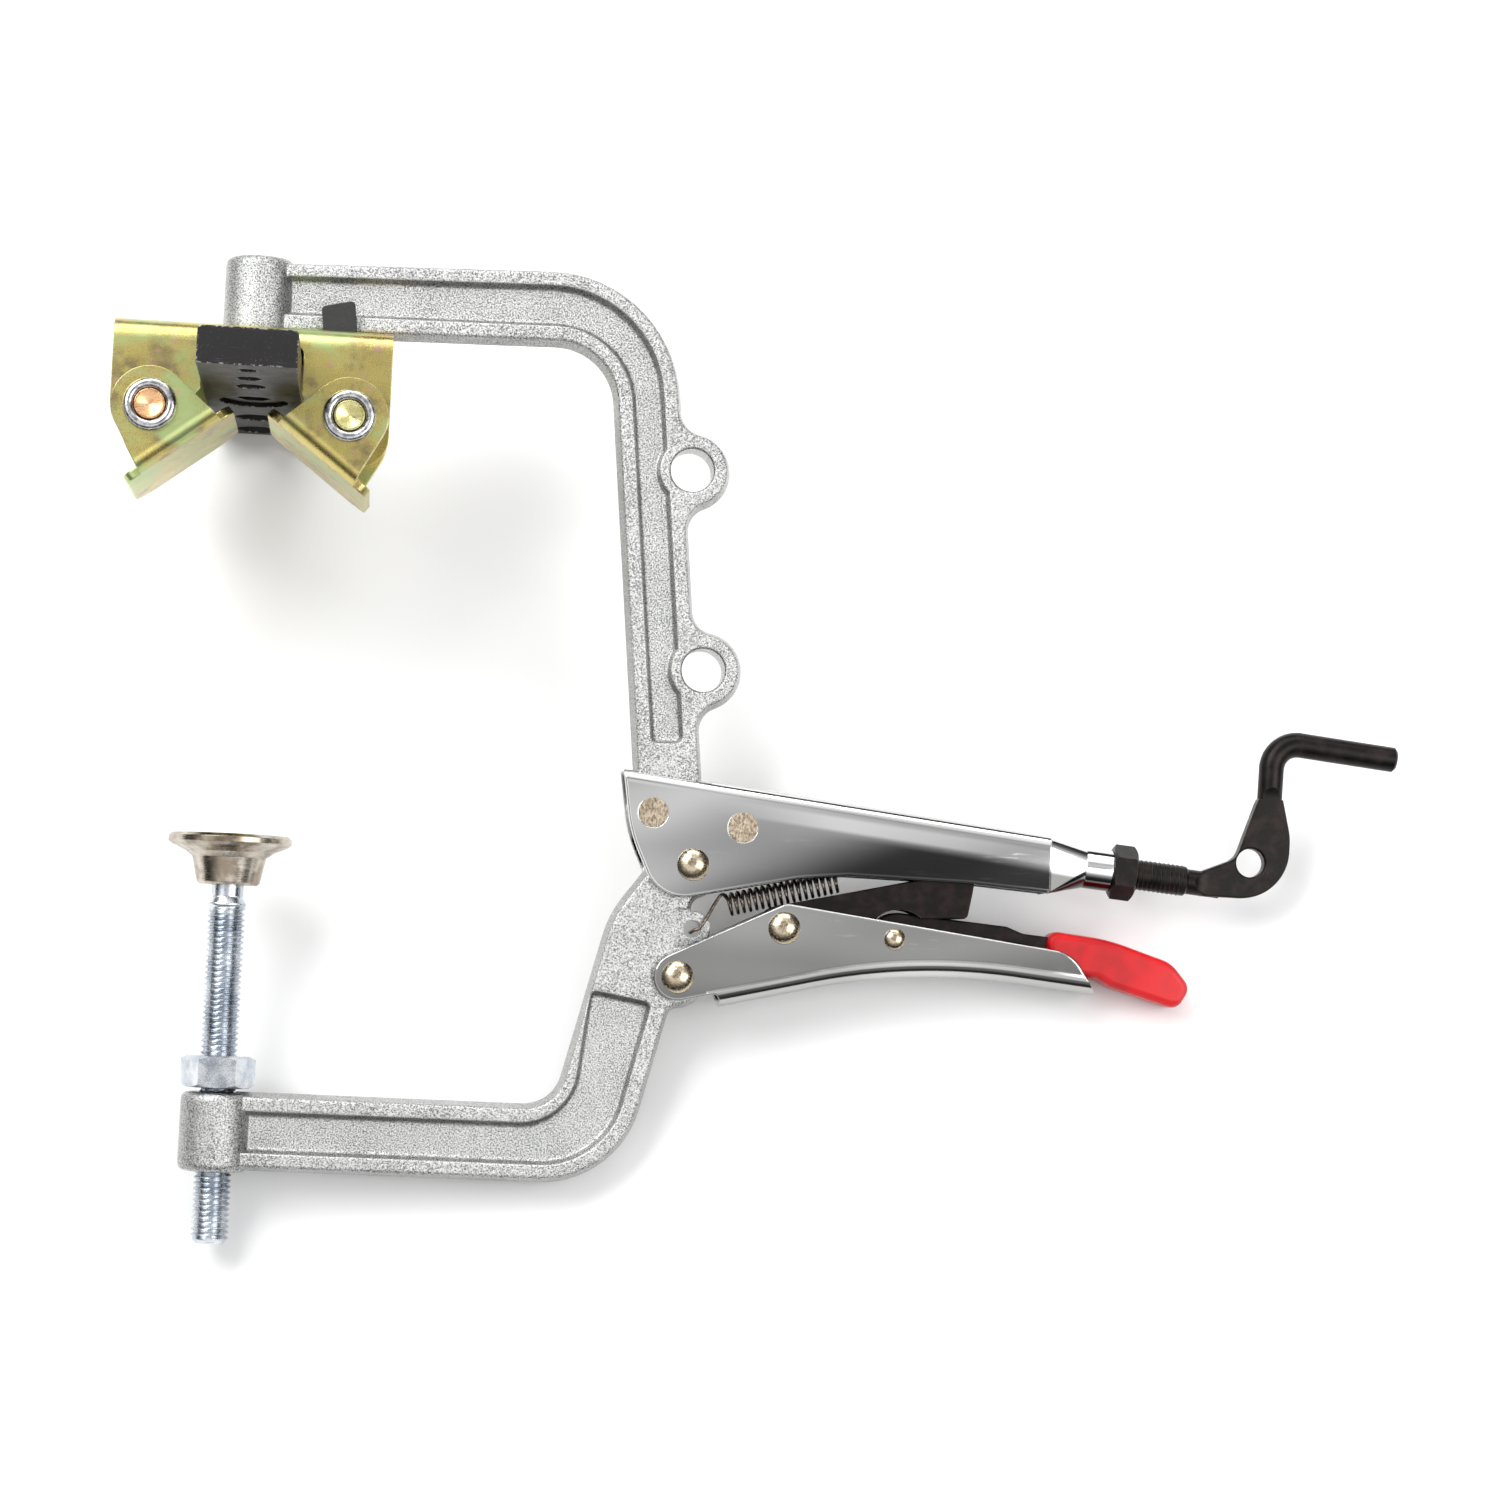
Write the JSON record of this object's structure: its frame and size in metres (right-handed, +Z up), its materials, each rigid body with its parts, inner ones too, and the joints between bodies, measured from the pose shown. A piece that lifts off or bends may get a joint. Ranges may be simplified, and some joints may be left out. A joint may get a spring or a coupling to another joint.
{
  "type": "drill jig locking pliers",
  "caption": "C-shaped locking pliers with drill guide holes in a cross bar, hinged V pads, a threaded spindle with a swivel pad and a crank-ended adjusting screw.",
  "frame": {"origin": "centre of the swivel pad's face on the clamp axis", "axes": "the tool lies on its back as it comes to rest: +X to the handles, +Y nearly along the clamp axis toward the drill bar, +Z up from the table"},
  "size_m": [0.3512, 0.2576, 0.1271],
  "materials": {
    "forged_steel": "plated over a fine blasted grain, satin",
    "chrome_sheet": "polished nickel-chrome plate",
    "black_oxide": "black oxide with a brownish sheen",
    "spring_wire": "drawn wire, oiled",
    "zinc": "bright bluish zinc plate",
    "warm_nickel": "warm nickel plate, satin",
    "yellow_zinc": "yellow passivated zinc with green and pink tints",
    "bar_black": "blackened steel, scratched, chipped edges",
    "locator_black": "black, fine texture",
    "copper_pin": "turned, copper tint",
    "brass_pin": "turned, greenish brass tint",
    "ring_steel": "bright round wire ring",
    "rivet_steel": "nickel plate with a golden tint",
    "red_vinyl": "glossy dipped vinyl"
  },
  "bodies": {
    "frame": {"upper_arm": "forged_steel", "upper_handle": "chrome_sheet", "saddle_bracket": "yellow_zinc", "locator": "locator_black", "drill_guide_bar": "bar_black", "guide_bar_screw": "bar_black", "pad_pin_left": "copper_pin", "pad_pin_right": "brass_pin", "pin_rings": "ring_steel", "arm_rivets": "rivet_steel", "jaw_pivot_rivet": "rivet_steel", "tension_spring": "spring_wire"},
    "jaw": {"lower_arm": "forged_steel"},
    "lower_handle": {"lower_handle": "chrome_sheet", "handle_pivot_rivet": "rivet_steel", "link_rivet": "rivet_steel", "lever_rivet": "rivet_steel"},
    "link": {"toggle_link": "black_oxide"},
    "lever": {"release_lever": "black_oxide", "release_grip": "red_vinyl"},
    "adjuster": {"adjusting_screw": "black_oxide"},
    "lock_nut": {"adjusting_lock_nut": "black_oxide"},
    "spindle": {"spindle": "zinc"},
    "spindle_nut": {"spindle_nut": "zinc"},
    "swivel": {"swivel_pad": "warm_nickel"},
    "pad_left": {"v_pad_left": "yellow_zinc"},
    "pad_right": {"v_pad_right": "yellow_zinc"}
  },
  "joints": [
    {"name": "jaw_hinge", "type": "hinge", "parent": "frame", "child": "jaw", "pos_m": [0.12251, -0.00213, -0.01094], "axis": [0.0821, -0.2417, 0.9669], "range_deg": [0, 26], "deforming": ["tension_spring"]},
    {"name": "lower_handle_hinge", "type": "hinge", "parent": "jaw", "child": "lower_handle", "pos_m": [0.11911, -0.03134, -0.01795], "axis": [0.0821, -0.2417, 0.9669], "range_deg": [-67, 0]},
    {"name": "toggle_link_hinge", "type": "hinge", "parent": "lower_handle", "child": "link", "pos_m": [0.1473, -0.01747, -0.01688], "axis": [0.0821, -0.2417, 0.9669], "range_deg": [0, 67.5]},
    {"name": "release_lever_hinge", "type": "hinge", "parent": "lower_handle", "child": "lever", "pos_m": [0.17706, -0.01902, -0.01979], "axis": [0.0821, -0.2417, 0.9669], "range_deg": [-2.5, 0]},
    {"name": "adjusting_screw_slide", "type": "slide", "parent": "frame", "child": "adjuster", "axis": [0.9908, -0.0846, -0.1053], "range_m": [0, 0.015]},
    {"name": "lock_nut_slide", "type": "slide", "parent": "adjuster", "child": "lock_nut", "axis": [0.9908, -0.0846, -0.1053], "range_m": [0, 0.012]},
    {"name": "spindle_slide", "type": "slide", "parent": "jaw", "child": "spindle", "axis": [0.0205, 0.9704, 0.2408], "range_m": [-0.03, 0.025]},
    {"name": "spindle_nut_slide", "type": "slide", "parent": "jaw", "child": "spindle_nut", "axis": [0.0205, 0.9704, 0.2408], "range_m": [0, 0.012]},
    {"name": "swivel_hinge", "type": "hinge", "parent": "spindle", "child": "swivel", "pos_m": [-0.00016, -0.00767, -0.0019], "axis": [0.0821, -0.2417, 0.9669], "range_deg": [-6, 6]},
    {"name": "pad_left_hinge", "type": "hinge", "parent": "frame", "child": "pad_left", "pos_m": [-0.02355, 0.10693, 0.02873], "axis": [0.0821, -0.2417, 0.9669], "range_deg": [-35, 7]},
    {"name": "pad_right_hinge", "type": "hinge", "parent": "frame", "child": "pad_right", "pos_m": [0.02806, 0.10693, 0.02434], "axis": [0.0821, -0.2417, 0.9669], "range_deg": [-7, 35]}
  ],
  "couplings": [
    {"joint": "lower_handle_hinge", "follows": "jaw_hinge", "ratio": -2.55},
    {"joint": "toggle_link_hinge", "follows": "jaw_hinge", "ratio": 2.57}
  ]
}
